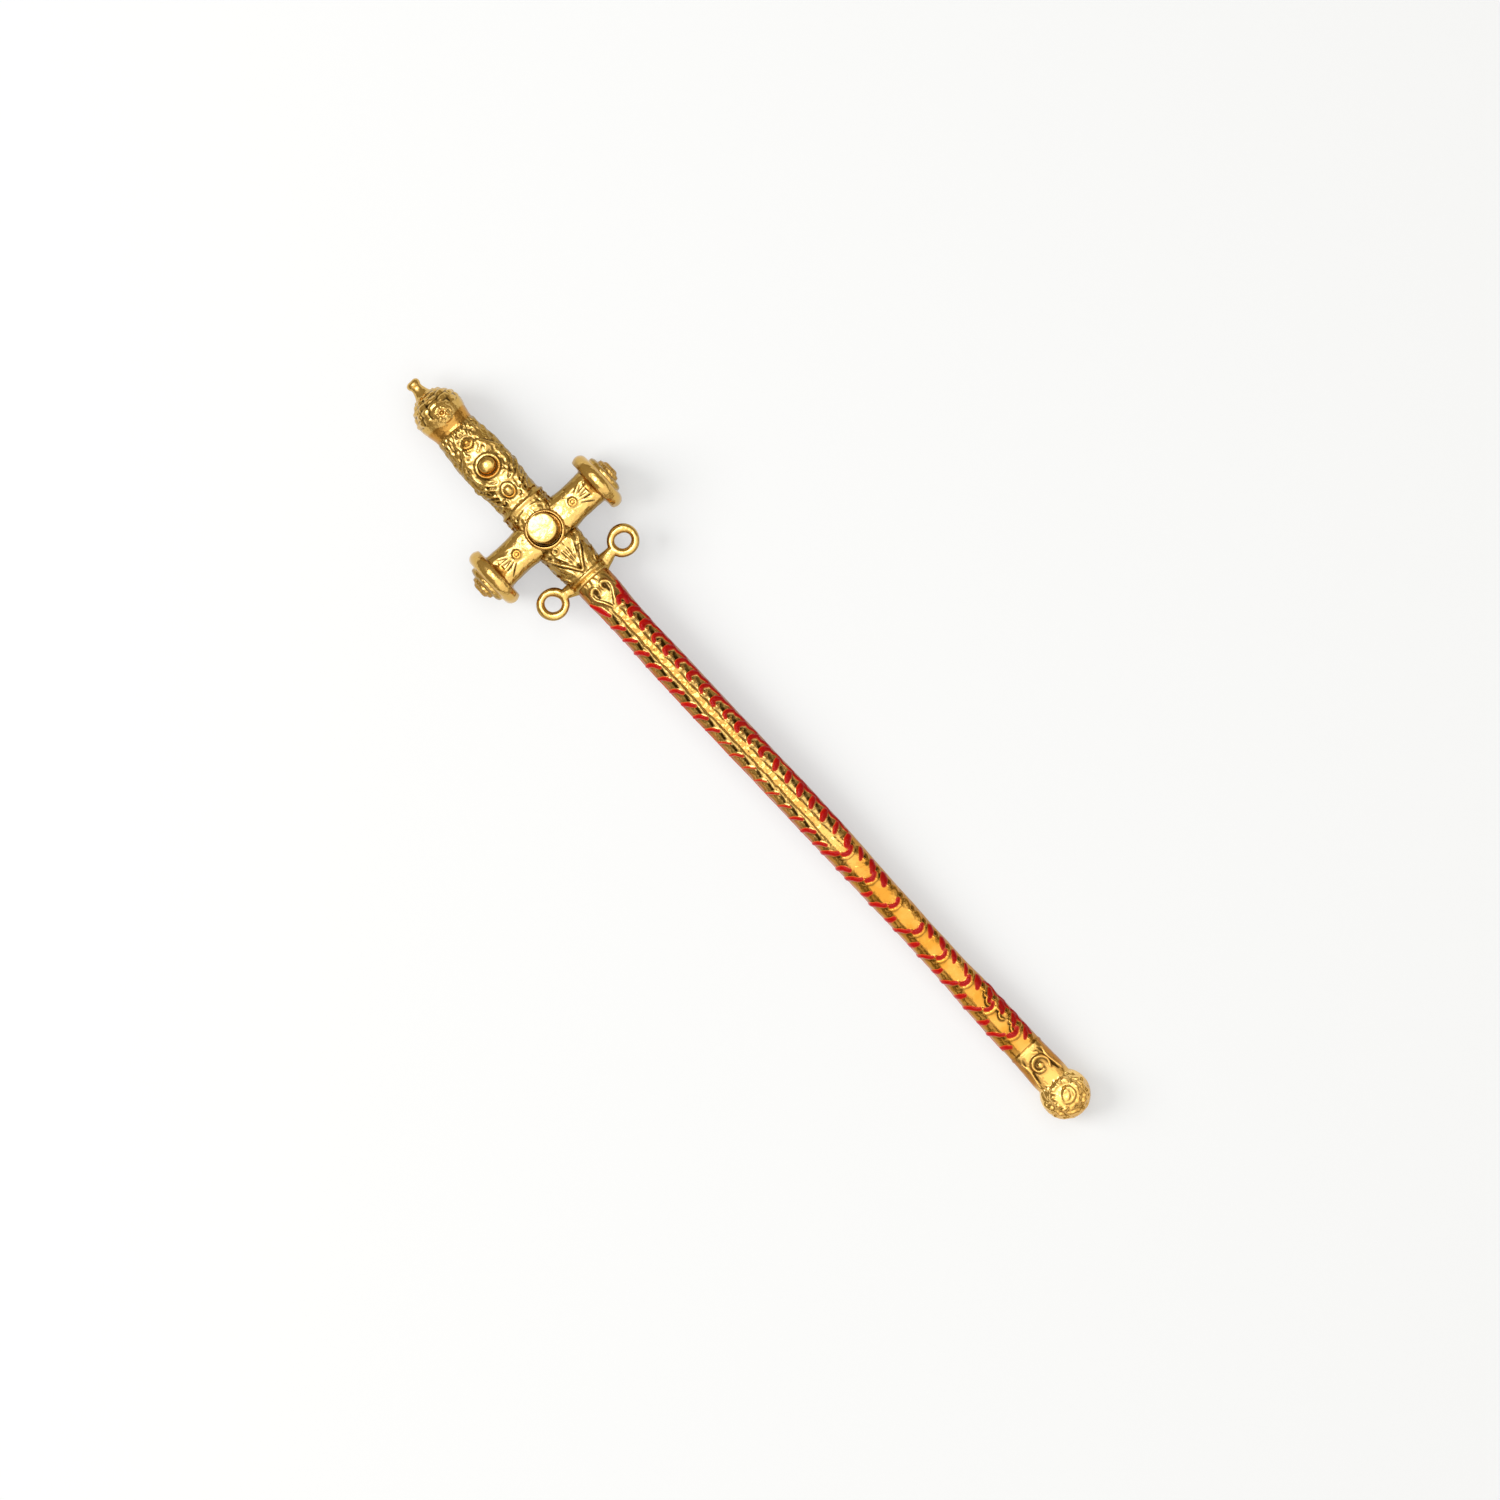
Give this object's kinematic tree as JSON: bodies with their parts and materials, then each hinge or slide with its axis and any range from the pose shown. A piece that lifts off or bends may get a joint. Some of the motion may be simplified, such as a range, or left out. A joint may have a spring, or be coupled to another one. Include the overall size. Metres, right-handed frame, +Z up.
{
  "type": "miniature ceremonial sword in scabbard",
  "caption": "Gilded cast miniature of a ceremonial sword in a red-painted scabbard, lying flat, with a capped cross guard, hanging loops and a round tip medallion.",
  "frame": {"origin": "centre of the footprint, on the surface that the sword lies on", "axes": "+X along the sword from the pommel to the tip medallion, +Z up through the decorated front, +Y across towards the upper guard arm"},
  "size_m": [0.0998, 0.0184, 0.0064],
  "materials": {
    "gilt": "polished gold plate over a slightly grainy casting, with glossy red enamel strokes on the scabbard"
  },
  "bodies": {
    "root": {"sword_in_scabbard": "gilt"}
  },
  "joints": []
}
